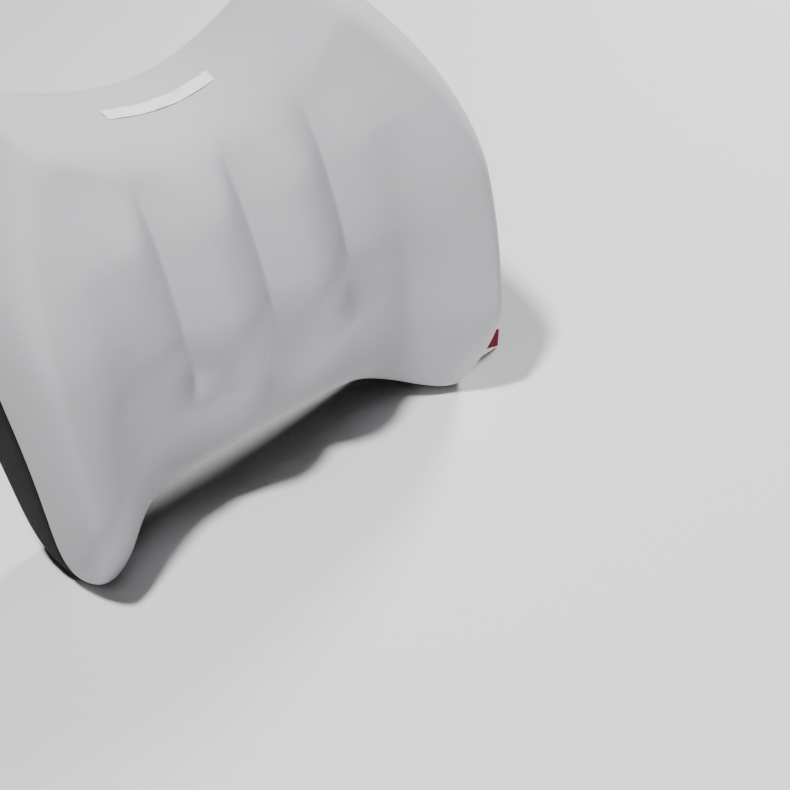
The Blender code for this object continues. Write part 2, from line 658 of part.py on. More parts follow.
BODY.free()
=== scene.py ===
"""Lumbar support cushion: fine surfaces, cloth and light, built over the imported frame."""

import math

import bpy
import numpy as np
from mathutils import Matrix, Vector


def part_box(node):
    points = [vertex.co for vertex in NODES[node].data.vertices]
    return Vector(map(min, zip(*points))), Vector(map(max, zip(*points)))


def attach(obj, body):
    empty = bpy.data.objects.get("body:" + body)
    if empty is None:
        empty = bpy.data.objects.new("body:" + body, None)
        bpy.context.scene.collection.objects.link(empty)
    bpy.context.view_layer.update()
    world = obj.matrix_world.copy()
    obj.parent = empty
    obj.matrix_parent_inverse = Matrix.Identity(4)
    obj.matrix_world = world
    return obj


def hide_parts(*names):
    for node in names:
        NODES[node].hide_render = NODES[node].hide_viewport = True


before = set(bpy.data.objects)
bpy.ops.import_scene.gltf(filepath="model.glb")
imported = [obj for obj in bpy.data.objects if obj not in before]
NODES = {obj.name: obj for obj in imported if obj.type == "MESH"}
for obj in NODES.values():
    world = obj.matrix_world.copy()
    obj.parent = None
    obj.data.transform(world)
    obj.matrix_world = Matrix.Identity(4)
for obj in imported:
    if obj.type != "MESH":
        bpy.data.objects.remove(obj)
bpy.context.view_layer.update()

# ---- sizes, in metres; heights are above the feet ----
FEET = 0.112
FOOT_FLAT = 0.003
HEIGHT = 0.3527
MIDDLE = HEIGHT / 2
OUTLINE = (
    (90, 0.0, 0.3157), (72, 0.0685, 0.3325), (54, 0.1185, HEIGHT), (36, 0.1473, 0.3278),
    (8, 0.1838, 0.2394), (-18, 0.1802, 0.0941), (-40, 0.1700, 0.0150), (-52, 0.1445, 0.0),
    (-63, 0.0860, 0.0310), (-76, 0.0303, 0.0474), (-90, 0.0, 0.0487),
)
CENTRE_DEPTH = ((0.000, 0.0803), (0.062, 0.0754), (0.124, 0.1004), (0.196, 0.1261), (0.258, 0.1175),
                (0.309, 0.0900), (0.412, 0.0400))
WING_DEPTH = ((0.000, 0.0770), (0.103, 0.1370), (0.206, 0.1430), (0.309, 0.1100), (0.412, 0.0650))
WING_SPAN = 0.0522, 0.1753
VALLEY_DEPTH = ((0.0, 0.0270), (0.124, 0.0186), (0.268, 0.0))
VALLEY_X, VALLEY_WIDTH = 0.0972, 0.0330
GROOVES = ((-0.0645, 0.133), (0.0, 0.087), (0.0645, 0.133))
GROOVE_TOP = 0.307
GROOVE_DEPTH, GROOVE_REACH, GROOVE_CREASE = 0.0150, 0.034, 0.0014
EDGE_ROUND = ((0.0, 0.0210), (0.090, 0.0220), (0.200, 0.0260), (0.280, 0.0320), (0.353, 0.0360))
JOIN_POWER, RIM_POWER = 3.0, 2.0
REAR_INSET = 0.014
REAR_ROUND = ((0.0, 0.0383), (0.309, 0.0102))
SEAM_DEPTH = ((0.0, 0.0540), (0.150, 0.0780), (0.260, 0.0600), (0.330, 0.0300))
SEAM_MARGIN = 0.012
TOP_SEAM = 0.15, 0.75
TOP_SEAM_TURN = math.radians(36)
BACK_START = math.radians(60)
FIELD_START = math.radians(60)
SEAM_TUCK = 0.012
CLOTH_LIP = 0.0012
ZIP_HEIGHT, ZIP_HALF = 0.155, 0.120
STRAP_HEIGHT, STRAP_OFF = 0.225, 0.015
STRAP_WIDTH, STRAP_THICK = 0.038, 0.0018


# ---- curves, as in the part ----
def profile(pairs, at):
    """Monotone cubic through (place, value) pairs."""
    places, values = np.array(pairs).T
    step = np.diff(places)
    slope = np.diff(values) / step
    ease = np.zeros(len(places))
    same = slope[:-1] * slope[1:] > 0
    one, two = 2 * step[1:] + step[:-1], step[1:] + 2 * step[:-1]
    ease[1:-1][same] = (one + two)[same] / (one[same] / slope[:-1][same] + two[same] / slope[1:][same])
    ease[0], ease[-1] = slope[0], slope[-1]
    at = np.clip(at, places[0], places[-1])
    k = np.clip(np.searchsorted(places, at) - 1, 0, len(step) - 1)
    u = (at - places[k]) / step[k]
    return (
        values[k] * (1 + 2 * u) * (1 - u) ** 2
        + values[k + 1] * u * u * (3 - 2 * u)
        + step[k] * (ease[k] * u * (1 - u) ** 2 - ease[k + 1] * u * u * (1 - u))
    )


def rim(angle):
    """Periodic cubic through OUTLINE and its mirror image: points and outward normals."""
    keys = np.array(OUTLINE[::-1] + tuple((180 - a, -x, z) for a, x, z in OUTLINE[1:-1]))
    knots, points = np.radians(keys[:, 0]), keys[:, 1:]
    count = len(knots)
    step = np.diff(np.r_[knots, knots[0] + 2 * math.pi])
    rise = np.roll(points, -1, 0) - points
    before = np.roll(step, 1)
    system = np.diag(2 / before + 2 / step)
    for k in range(count):
        system[k, k - 1] += 1 / before[k]
        system[k, (k + 1) % count] += 1 / step[k]
    pull = np.roll(rise, 1, 0) / before[:, None] ** 2 + rise / step[:, None] ** 2
    ease = np.linalg.solve(system, 3 * pull)
    at = (np.asarray(angle) - knots[0]) % (2 * math.pi) + knots[0]
    k = np.clip(np.searchsorted(knots, at, "right") - 1, 0, count - 1)
    n = (k + 1) % count
    h = step[k][:, None]
    u = (at - knots[k])[:, None] / h
    place = (
        points[k] * (1 + 2 * u) * (1 - u) ** 2
        + points[n] * u * u * (3 - 2 * u)
        + h * (ease[k] * u * (1 - u) ** 2 - ease[n] * u * u * (1 - u))
    )
    along = 6 * u * (1 - u) * (points[n] - points[k]) / h
    along += ease[k] * (1 - u) * (1 - 3 * u) + ease[n] * u * (3 * u - 2)
    along /= np.linalg.norm(along, axis=1, keepdims=True)
    return place, np.stack([along[:, 1], -along[:, 0]], -1)


def smooth(low, high, at):
    """0 below low, 1 above high, an easy curve between."""
    u = np.clip((at - low) / (high - low), 0, 1)
    return u * u * (3 - 2 * u)


def front_depth(x, z):
    """Centre and wings blended across, less the valleys and the three grooves."""
    side = np.abs(x)
    share = smooth(*WING_SPAN, side)
    depth = profile(CENTRE_DEPTH, z) * (1 - share) + profile(WING_DEPTH, z) * share
    depth = depth - profile(VALLEY_DEPTH, z) * np.exp(-(((side - VALLEY_X) / VALLEY_WIDTH) ** 2))
    for place, low in GROOVES:
        away = (np.sqrt((x - place) ** 2 + GROOVE_CREASE**2) - GROOVE_CREASE) / GROOVE_REACH
        fade = smooth(low - 0.016, low + 0.028, z) * (1 - smooth(GROOVE_TOP - 0.050, GROOVE_TOP + 0.006, z))
        depth = depth - GROOVE_DEPTH * fade * np.clip(1 - away, 0, 1) ** 2
    swell = (1 - smooth(0.062, 0.125, side)) * smooth(0.075, 0.140, z) * (1 - smooth(0.250, 0.315, z))
    depth = depth + 0.55 * GROOVE_DEPTH * swell
    return depth


def edge_share(inside):
    """Share of the full depth this far into the rounded front edge: 1 less the cubed rest, to the half."""
    left = 1 - np.clip(inside, 0, 1)
    return (1 - left**JOIN_POWER) ** (1 / RIM_POWER)


def front_point(x, z, share):
    """Front surface at x and z, this share of the way from the widest ring's depth to the full depth."""
    rear = profile(REAR_ROUND, z)
    return np.stack([x, -(rear + (front_depth(x, z) - rear) * share), z], -1)


def rear_point(x, z, inset):
    """Back surface at x and z: a quarter ellipse over REAR_INSET from the widest ring, then flat."""
    left = 1 - np.clip(inset / REAR_INSET, 0, 1)
    return np.stack([x, -profile(REAR_ROUND, z) * (1 - np.sqrt(1 - left**2)), z], -1)


class Ring:
    """The widest ring at given angles, and the surfaces drawn in from it along spokes."""

    def __init__(self, angle):
        self.place, self.normal = rim(angle)
        self.spoke = self.place - (0.0, MIDDLE)
        self.reach = (self.spoke * self.normal).sum(1)
        self.up = np.clip(self.normal[:, 1], 0, 1)
        self.width = profile(EDGE_ROUND, self.place[:, 1])
        self.rear = profile(REAR_ROUND, self.place[:, 1])
        self.depth = front_depth(*self.place.T)

    def inward(self, inset):
        """x and z at each inset (rows by columns), measured square to the ring."""
        share = (1 - inset / self.reach)[..., None]
        return np.moveaxis(share * self.spoke + (0.0, MIDDLE), -1, 0)

    def front(self, inset):
        return front_point(*self.inward(inset), edge_share(inset / self.width))

    def back(self, inset):
        return rear_point(*self.inward(inset), inset)

    def edge(self, turn):
        return self.width * (1 - np.cos(turn) ** (2 / JOIN_POWER))

    def skin(self, turn):
        """Points at this turn from the widest ring: above 0 to the front, below 0 to the back."""
        turn = turn + 0 * self.reach
        front, back = self.front(self.edge(turn)), self.back(REAR_INSET * (1 - np.cos(turn)))
        return np.where((turn >= 0)[..., None], front, back)

    def seam(self):
        """Turn at which the cover meets the gusset; along the top it goes over to the back."""
        deep = np.minimum(profile(SEAM_DEPTH, self.place[:, 1]), self.depth - SEAM_MARGIN)
        turn = np.arcsin(np.clip((deep - self.rear) / (self.depth - self.rear), 0, 1) ** (RIM_POWER / 2))
        share = smooth(*TOP_SEAM, self.up)
        return turn * (1 - share) - TOP_SEAM_TURN * share

    def cloth(self, points):
        """x and z carried on round the edge by the depth lost to it."""
        x, y, z = np.moveaxis(points, -1, 0)
        drop = np.maximum(self.depth + y, 0) * np.clip(1.5 - self.inset_of(x, z) / self.width, 0, 1)
        return np.stack([x + self.normal[:, 0] * drop, z + self.normal[:, 1] * drop], -1)

    def inset_of(self, x, z):
        share = np.hypot(x, z - MIDDLE) / np.linalg.norm(self.spoke, axis=1)
        return (1 - share) * self.reach


def around(columns):
    """Angles spread so that points lie evenly along the ring."""
    even = np.arange(columns) * 2 * math.pi / columns
    return even - 0.25 * np.cos(even) - 0.08 * np.cos(3 * even)


# ---- meshes ----
def facing(points, closed):
    """Unit normals of a grid of points, from the differences along its rows and columns."""
    down = np.gradient(points, axis=0)
    if closed:
        across = np.roll(points, -1, 1) - np.roll(points, 1, 1)
    else:
        across = np.gradient(points, axis=1)
    out = np.cross(down, across)
    return out / np.maximum(np.linalg.norm(out, axis=-1, keepdims=True), 1e-12)


def link(name, mesh, look, body):
    """Smooth object with its material, riding on its body."""
    mesh.polygons.foreach_set("use_smooth", np.ones(len(mesh.polygons), bool))
    mesh.update()
    made = bpy.data.objects.new(name, mesh)
    bpy.context.scene.collection.objects.link(made)
    made.data.materials.append(look)
    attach(made, body)
    return made


def cells(place):
    """The four corners of every cell of a grid of numbers."""
    return np.stack([place[:-1, :-1], place[1:, :-1], place[1:, 1:], place[:-1, 1:]], -1).reshape(-1, 4)


def grid(name, points, uv, look, body, closed=False, pole=False):
    """Surface over a grid of points; closed joins the columns, pole makes the first row one point."""
    rows, columns = points.shape[:2]
    co = points.reshape(-1, 3).astype(np.float64)
    place = np.arange(rows * columns).reshape(rows, columns)
    if closed:
        place = np.concatenate([place, place[:, :1]], 1)
        uv = np.concatenate([uv, uv[:, :1]], 1)
    across = place.shape[1]
    quads, loops = cells(place), cells(np.arange(rows * across).reshape(rows, across))
    tris, tri_loops = np.zeros((0, 3), int), np.zeros((0, 3), int)
    if pole:
        keep = np.arange(len(co)) >= columns - 1
        shift = np.maximum(np.arange(len(co)) - (columns - 1), 0)
        co, quads = co[keep], shift[quads]
        first, first_loops = quads[: across - 1], loops[: across - 1]
        tris = np.column_stack([np.zeros(len(first), int), first[:, 1], first[:, 2]])
        tri_loops = first_loops[:, :3]
        quads, loops = quads[across - 1 :], loops[across - 1 :]
    mesh = bpy.data.meshes.new(name)
    mesh.from_pydata(co - (0.0, 0.0, FEET), [], tris.tolist() + quads.tolist())
    layer = mesh.uv_layers.new(name="cloth")
    order = np.concatenate([tri_loops.ravel(), loops.ravel()])
    layer.data.foreach_set("uv", uv.reshape(-1, 2)[order].ravel())
    return link(name, mesh, look, body)


def lip(points, rows, radius, depth, first=False):
    """Rows that roll a cloth edge in over a small radius and on down into the seam."""
    out = facing(points, True)
    edge, normal = (points[0], out[0]) if first else (points[-1], out[-1])
    along = (points[0] - points[1]) if first else (points[-1] - points[-2])
    along /= np.maximum(np.linalg.norm(along, axis=-1, keepdims=True), 1e-12)
    turns = [math.pi / 2 * (k + 1) / rows for k in range(rows)]
    new = [edge + along * radius * math.sin(t) - normal * radius * (1 - math.cos(t)) for t in turns]
    new.append(new[-1] - normal * depth)
    return np.stack(new[::-1] if first else new)


# ---- shader maths ----
class Value:
    """A shader socket that adds, multiplies and compares by making Math nodes."""

    def __init__(self, tree, socket):
        self.tree, self.socket = tree, socket

    def make(self, kind, output=0, settings=None, **inputs):
        """One node of any kind; inputs are given by name, with underscores for spaces."""
        made = self.tree.nodes.new(kind)
        for key, value in (settings or {}).items():
            setattr(made, key, value)
        for key, value in inputs.items():
            socket = made.inputs[int(key[1:]) if key[1:].isdigit() else key.replace("_", " ")]
            if isinstance(value, Value):
                self.tree.links.new(value.socket, socket)
            else:
                socket.default_value = value
        return Value(self.tree, made.outputs[output])

    def math(self, operation, *others):
        values = {"i%d" % (k + 1): other for k, other in enumerate(others)}
        return self.make("ShaderNodeMath", settings={"operation": operation}, i0=self, **values)

    def __add__(self, other):
        return self.math("ADD", other)

    def __sub__(self, other):
        return self.math("SUBTRACT", other)

    def __mul__(self, other):
        return self.math("MULTIPLY", other)

    def __pow__(self, other):
        return self.math("POWER", other)

    def sin(self):
        return self.math("SINE")

    def size(self):
        return self.math("ABSOLUTE")

    def between(self, low, high, first=0.0, last=1.0):
        """Easy step from first to last as the value goes from low to high."""
        return self.make("ShaderNodeMapRange", settings={"interpolation_type": "SMOOTHSTEP"},
                         i0=self, i1=low, i2=high, i3=first, i4=last)


def finish(name, colour, roughness, **constants):
    """New material: its node tree, the Principled shader, and a Value to build on."""
    made = bpy.data.materials.new(name)
    made.use_nodes = True
    tree = made.node_tree
    shader = tree.nodes["Principled BSDF"]
    shader.inputs["Base Color"].default_value = (*colour, 1.0)
    shader.inputs["Roughness"].default_value = roughness
    for key, value in constants.items():
        shader.inputs[key.replace("_", " ")].default_value = value
    return made, shader, Value(tree, None)


def across_cloth(start):
    """The two cloth coordinates, in millimetres."""
    place = start.make("ShaderNodeUVMap", settings={"uv_map": "cloth"})
    split = start.make("ShaderNodeSeparateXYZ", Vector=place)
    other = Value(start.tree, split.socket.node.outputs["Y"])
    return split * 1000, other * 1000, place


def object_place(start):
    """The object's own coordinates."""
    return start.make("ShaderNodeTexCoord", output=3)


def across_object(start):
    """Object X and Z in millimetres, for flat pieces that stand upright."""
    place = object_place(start)
    split = start.make("ShaderNodeSeparateXYZ", Vector=place)
    other = Value(start.tree, split.socket.node.outputs["Z"])
    return split * 1000, other * 1000, place


def tint(start, colour, value):
    """Colour times a shader value."""
    return start.make("ShaderNodeVectorMath", settings={"operation": "SCALE"}, i0=colour, Scale=value)


def wire(shader, socket, value):
    """Join a value to one of the shader's sockets."""
    value.tree.links.new(value.socket, shader.inputs[socket])


def bumped(start, height, distance, strength=1.0):
    return start.make("ShaderNodeBump", Height=height, Distance=distance, Strength=strength)


def noise(start, vector, scale, detail=3.0, roughness=0.55):
    return start.make("ShaderNodeTexNoise", Vector=vector, Scale=scale, Detail=detail, Roughness=roughness)


def knit_material():
    """Fine jersey: rows of loops across, columns of loops down, and a slight unevenness of yarn."""
    made, shader, start = finish("smooth grey knit", (0.5, 0.5, 0.52), 0.86, Sheen_Weight=0.12,
                                 Sheen_Roughness=0.45, Specular_IOR_Level=0.22)
    u, v, place = across_cloth(start)
    wobble = noise(start, place, 90.0) * 0.9
    course = (((v + wobble) * (2 * math.pi / 1.35)).sin() * 0.5 + 0.5) ** 1.5
    wale = ((u * (2 * math.pi / 0.95)).sin() * 0.5 + 0.5)
    drawn = start.make("ShaderNodeVectorMath", settings={"operation": "MULTIPLY"}, i0=place,
                       i1=(14.0, 900.0, 1.0))
    streak = noise(start, drawn, 1.0, 2.0)
    cloud = noise(start, place, 12.0, 4.0)
    shade = course * 0.022 + wale * 0.008 + (streak - 0.5) * 0.10 + (cloud - 0.5) * 0.05 + 0.985
    wire(shader, "Base Color", tint(start, (0.500, 0.498, 0.525), shade))
    wire(shader, "Normal", bumped(start, course * 0.6 + wale * 0.3 + streak * 0.5, 0.00012, 0.6))
    return made


def mesh_material():
    """Dark spacer mesh: rows of small round holes, each row set half a step along."""
    made, shader, start = finish("dark spacer mesh", (0.009, 0.011, 0.010), 0.88, Sheen_Weight=0.03,
                                 Specular_IOR_Level=0.12)
    u, v, place = across_cloth(start)
    one = (u * (math.pi / 1.5)).sin() * (v * (math.pi / 1.3)).sin()
    hole = one.size().between(0.45, 0.85)
    thread = ((u + v) * (2 * math.pi / 0.5)).sin() * 0.5 + 0.5
    cloud = noise(start, place, 30.0)
    shade = (hole * -0.7 + 1.0) * (cloud * 0.4 + 0.8) + thread * 0.15
    wire(shader, "Base Color", tint(start, (0.0095, 0.0115, 0.0102), shade))
    wire(shader, "Normal", bumped(start, hole * -1.0 + thread * 0.15, 0.0005, 0.8))
    return made


def web_material(name="black webbing", colour=(0.016, 0.016, 0.017), rib=1.6, across=across_cloth):
    """Woven tape: cross ribs broken into a chevron by the warp yarns."""
    made, shader, start = finish(name, colour, 0.7, Sheen_Weight=0.1, Specular_IOR_Level=0.35)
    u, v, place = across(start)
    warp = (v * (2 * math.pi / rib)).sin()
    chevron = ((u + warp.size() * rib * 0.4) * (2 * math.pi / (rib * 0.7))).sin()
    yarn = warp * 0.35 + chevron * 0.5 + 0.5
    shade = yarn * 0.5 + noise(start, place, 150.0) * 0.3 + 0.6
    wire(shader, "Base Color", tint(start, colour, shade))
    wire(shader, "Normal", bumped(start, yarn, 0.00025, 0.9))
    return made


def grain_material(name, colour, roughness, scale, depth, metallic=0.0, **constants):
    """Moulded or cast surface with a fine grain, from the object's own coordinates."""
    made, shader, start = finish(name, colour, roughness, Metallic=metallic, **constants)
    place = object_place(start)
    grain, cloud = noise(start, place, scale), noise(start, place, scale / 12)
    wire(shader, "Base Color", tint(start, colour, cloud * 0.3 + 0.85))
    wire(shader, "Roughness", cloud * 0.16 + (roughness - 0.08))
    wire(shader, "Normal", bumped(start, grain, depth, 0.5))
    return made


KNIT, MESH, WEB = knit_material(), mesh_material(), web_material()
TAPE = web_material("zip tape", (0.014, 0.014, 0.015), 0.8)
PLASTIC = grain_material("black plastic", (0.013, 0.013, 0.014), 0.42, 2600.0, 0.00006)
ENAMEL = grain_material("dark enamel", (0.05, 0.05, 0.055), 0.32, 900.0, 0.00002, metallic=0.8)
STEEL = grain_material("crimped metal", (0.56, 0.56, 0.57), 0.34, 1500.0, 0.00003, metallic=1.0)
FOAM = grain_material("cream foam", (0.84, 0.80, 0.66), 0.95, 1400.0, 0.0004)
LINER = web_material("white liner", (0.78, 0.78, 0.77), 1.2)
SATIN = web_material("white satin label", (0.78, 0.78, 0.78), 0.5, across_object)
TAG = web_material("red woven tag", (0.50, 0.015, 0.045), 0.6, across_object)
FILM = grain_material("white transfer", (0.86, 0.86, 0.86), 0.45, 1500.0, 0.00002)
THREAD = grain_material("black thread", (0.02, 0.02, 0.021), 0.6, 4000.0, 0.00003)


# ---- front cover ----
def settle(points):
    """Feet pressed flat where they stand."""
    points = points.copy()
    points[..., 2] = np.maximum(points[..., 2], FOOT_FLAT) - FOOT_FLAT
    return points


def front_cover(columns=704, field=170, edge=44):
    """Field rows run in from the edge along spokes; edge rows follow the superellipse to the seam."""
    ring = Ring(around(columns))
    cut = ring.seam() + SEAM_TUCK
    first = ring.edge(FIELD_START)
    share = np.linspace(0, 1, field + 1)[:, None]
    inset = ring.reach - (ring.reach - first) * share
    turn = FIELD_START + (cut - FIELD_START) * np.linspace(0, 1, edge + 1)[1:, None]
    points = np.concatenate([ring.front(inset), ring.skin(turn)])
    uv = ring.cloth(points)
    out = facing(points, True)
    far = np.linalg.norm(np.diff(points, axis=0), axis=-1)
    left = np.concatenate([np.cumsum(far[::-1], 0)[::-1], np.zeros((1, columns))])
    points = points - out * (0.0011 * np.exp(-left / 0.0032))[..., None]
    rolled = lip(points, 5, 0.0007, CLOTH_LIP)
    points = np.concatenate([points, rolled])
    uv = np.concatenate([uv, np.repeat(uv[-1:], len(rolled), 0)])
    made = grid("cover_front", settle(points), uv, KNIT, "cushion", closed=True, pole=True)
    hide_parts("front_cover")
    return made


def gusset(columns=704, rows=56):
    """From the seam round the widest ring and the rounded rear edge."""
    ring = Ring(around(columns))
    cut = ring.seam()
    points = ring.skin(cut - SEAM_TUCK + (SEAM_TUCK - BACK_START - cut) * np.linspace(0, 1, rows)[:, None])
    uv = ring.cloth(points)
    out = facing(points, True)
    far = np.linalg.norm(np.diff(points, axis=0), axis=-1)
    gone = np.concatenate([np.zeros((1, columns)), np.cumsum(far, 0)])
    left = gone[-1] - gone
    points = points - out * (0.0009 * (np.exp(-gone / 0.003) + np.exp(-left / 0.003)))[..., None]
    head, tail = lip(points, 4, 0.0006, CLOTH_LIP, first=True), lip(points, 4, 0.0006, CLOTH_LIP)
    uv = np.concatenate([np.repeat(uv[:1], len(head), 0), uv, np.repeat(uv[-1:], len(tail), 0)])
    made = grid("gusset_band", settle(np.concatenate([head, points, tail])), uv, MESH, "cushion", closed=True)
    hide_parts("side_gusset")
    return made


# ---- back panels ----
POLAR = Ring(around(2880))
POLAR_TURN = np.unwrap(np.arctan2(POLAR.spoke[:, 1], POLAR.spoke[:, 0]))
POLAR_SIZE = np.linalg.norm(POLAR.spoke, axis=1)


def back_at(x, z):
    """Back surface at any x and z inside the outline."""
    turn = np.arctan2(z - MIDDLE, x)
    size = np.interp(turn, POLAR_TURN, POLAR_SIZE, period=2 * math.pi)
    reach = np.interp(turn, POLAR_TURN, POLAR.reach, period=2 * math.pi)
    return rear_point(x, z, (1 - np.hypot(x, z - MIDDLE) / size) * reach)


def back_panel(side, columns=520, rows=150):
    """Straight lines from the gusset's edge to the zip's edge, laid on the back surface."""
    ring = Ring(around(2880))
    inset = REAR_INSET * (1 - math.cos(BACK_START)) + 0.0002
    x, z = ring.inward(inset + 0 * ring.reach)
    half = (z - ZIP_HEIGHT) * side > 0
    order = np.argsort(np.where(half, np.arctan2((z - ZIP_HEIGHT) * side, x), 9.0))[: half.sum()]
    path = np.stack([x[order], z[order]], -1)
    run = np.concatenate([[0.0], np.cumsum(np.linalg.norm(np.diff(path, axis=0), axis=1))])
    share = np.linspace(0, 1, columns)
    rim_x, rim_z = (np.interp(share, run / run[-1], path[:, k]) for k in (0, 1))
    near_x = rim_x[0] + (rim_x[-1] - rim_x[0]) * share
    window = 1 - smooth(ZIP_HALF - 0.001, ZIP_HALF + 0.006, np.abs(near_x))
    near_z = ZIP_HEIGHT + side * (0.0003 + 0.0062 * window)
    down = np.linspace(0, 1, rows)[:, None]
    x = rim_x + (near_x - rim_x) * down
    z = rim_z + (near_z - rim_z) * down
    points = back_at(x, z)
    edge = np.minimum(down, 1 - down) * np.hypot(near_x - rim_x, near_z - rim_z)
    points[..., 1] -= 0.0008 * np.exp(-edge / 0.0025)
    under = [points[-1] + (0, -0.0004 * k, -side * 0.0001 * k) for k in (1, 2, 3, 4)]
    over = [points[0] + (0, -0.0004 * k, 0) for k in (4, 3, 2, 1)]
    points = np.concatenate([over, points, under])
    if side > 0:
        points = points[::-1]
    word = "upper" if side > 0 else "lower"
    made = grid("panel_" + word, settle(points), points[..., ::2], MESH, "cushion")
    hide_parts("back_panel_" + word)
    return made


front_cover()
gusset()
back_panel(1)
back_panel(-1)


# ---- foam and liner, inside the cover ----
def inner(name, node, depth, look, columns=240):
    """The whole body's surface, moved inward."""
    ring = Ring(around(columns))
    share = np.linspace(0, 1, 61)[:, None]
    front = ring.front(ring.reach - (ring.reach - ring.edge(FIELD_START)) * share)
    side = ring.skin(np.radians(np.linspace(60, -90, 61)[1:, None]))
    flat = ring.back(ring.reach - (ring.reach - REAR_INSET) * (1 - share[1:-1]))
    points = np.concatenate([front, side, flat])
    uv = points[..., ::2]
    points = settle(points)
    points = points - facing(points, True) * depth
    points[0] = points[1].mean(0)
    made = grid(name, points, uv, look, "cushion", closed=True, pole=True)
    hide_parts(node)
    return made


inner("foam_block", "foam_core", 0.0026, FOAM)
inner("liner_skin", "inner_liner", 0.0017, LINER)


# ---- tubes, ribbons and stitches ----
def tube(name, path, radius, look, body, sides=8):
    """Round section carried along a path."""
    along = np.gradient(path, axis=0)
    along /= np.linalg.norm(along, axis=1, keepdims=True)
    flat = np.cross(along, (0.0, 1.0, 0.0))
    flat /= np.maximum(np.linalg.norm(flat, axis=1, keepdims=True), 1e-9)
    other = np.cross(flat, along)
    turn = np.arange(sides) * 2 * math.pi / sides
    out = np.cos(turn)[None, :, None] * flat[:, None] + np.sin(turn)[None, :, None] * other[:, None]
    run = np.arange(len(path))[:, None] * 0.0002 + 0 * turn
    uv = np.stack([run, 0 * run + turn * radius], -1)
    return grid(name, path[:, None] + radius * out, uv, look, body, closed=True)


def ribbon(name, path, width, thick, middle, look, body):
    """Flat woven tape along points in X and Y, with rounded selvedges."""
    path = np.asarray(path)
    run = np.concatenate([[0.0], np.cumsum(np.linalg.norm(np.diff(path, axis=0), axis=1))])
    fine = np.linspace(0, run[-1], int(run[-1] / 0.0008))
    path = np.stack([np.interp(fine, run, path[:, k]) for k in (0, 1)], -1)
    along = np.gradient(path, axis=0)
    along /= np.linalg.norm(along, axis=1, keepdims=True)
    out = np.stack([-along[:, 1], along[:, 0]], -1)
    turn = np.arange(44) * 2 * math.pi / 44
    wide = np.sign(np.cos(turn)) * np.abs(np.cos(turn)) ** 0.5 * width / 2
    deep = np.sign(np.sin(turn)) * np.abs(np.sin(turn)) ** 0.35 * thick / 2
    points = np.empty((len(fine), len(turn), 3))
    points[..., :2] = path[:, None] + out[:, None] * deep[None, :, None]
    points[..., 2] = middle + wide
    caps = [row * 0.6 + row.mean(1, keepdims=True) * 0.4 for row in (points[:1], points[-1:])]
    points = np.concatenate([caps[0], points, caps[1]])
    fine = np.concatenate([fine[:1], fine, fine[-1:]])
    uv = np.stack([fine[:, None] + 0 * turn, points[..., 2]], -1)
    return grid(name, points, uv, look, body, closed=True)


def stitches(name, starts, ends, radius, out, look, body):
    """One small sunk-ended bead from each start to each end, all in one mesh."""
    starts, ends = np.asarray(starts), np.asarray(ends)
    rows, sides = 7, 6
    share = np.linspace(0.02, 0.98, rows)
    size = radius * np.sqrt(np.maximum(1 - (2 * share - 1) ** 4, 0.02))
    along = ends - starts
    length = np.linalg.norm(along, axis=1, keepdims=True)
    side = np.cross(along / length, out)
    turn = np.arange(sides) * 2 * math.pi / sides
    ringed = np.cos(turn)[:, None] * side[:, None] + np.sin(turn)[:, None] * np.asarray(out)
    middle = starts[:, None, None] + along[:, None, None] * share[None, :, None, None]
    points = middle + ringed[:, None] * size[None, :, None, None]
    base = np.arange(len(starts) * rows * sides).reshape(-1, rows, sides)
    nxt = np.roll(base, -1, 2)
    quads = np.stack([base[:, :-1], nxt[:, :-1], nxt[:, 1:], base[:, 1:]], -1).reshape(-1, 4)
    mesh = bpy.data.meshes.new(name)
    mesh.from_pydata(points.reshape(-1, 3) - (0, 0, FEET), [], quads.tolist())
    return link(name, mesh, look, body)


# ---- zip ----
def coil(side):
    """Closed loops in a row; each loop leans over the middle line to lock with the other side's."""
    pitch, steps = 0.0015, 14
    turns = int(2 * ZIP_HALF / pitch) - 1
    t = np.arange(turns * steps) / steps
    x = -ZIP_HALF + pitch * (t + (0.5 if side > 0 else 0.0)) + 0.0004
    z = ZIP_HEIGHT + side * (0.00115 - 0.00125 * np.cos(2 * math.pi * t))
    y = -0.0001 + 0.00065 * np.sin(2 * math.pi * t)
    word = "upper" if side > 0 else "lower"
    made = tube("coil_" + word, np.stack([x, y, z], -1), 0.00030, PLASTIC, "cushion", 6)
    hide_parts("zip_coil_" + word)


coil(1)
coil(-1)
for word in ("upper", "lower"):
    side = 1 if word == "upper" else -1
    low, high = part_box("zip_tape_" + word)
    across = np.linspace(-0.0105, -0.0010, 40)[:, None] * -side
    along = np.linspace(low[0], high[0], 700)
    flat = np.stack(np.broadcast_arrays(along, -0.0011, ZIP_HEIGHT + across), -1)
    if side > 0:
        flat = flat[::-1]
    tape = grid("tape_" + word, flat, flat[..., ::2], TAPE, "cushion")
    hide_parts("zip_tape_" + word)
    x = np.arange(low[0] + 0.001, high[0] - 0.001, 0.0032)
    z = ZIP_HEIGHT + side * 0.0098
    starts = np.stack(np.broadcast_arrays(x, 0.0001, z), -1)
    row = stitches("zip_stitching_" + word, starts, starts + (0.0024, 0, 0), 0.00025,
                   (0.0, 1.0, 0.0), THREAD, "cushion")


# ---- strap ----
LEG = 0.0027
BAR_X = 0.0318
LYING = 0.0012
BOX_OUTER, BOX_INNER, BOX_HALF = 0.1585, 0.1435, 0.0155
STITCH = 0.0028
THREAD_RADIUS = 0.00028


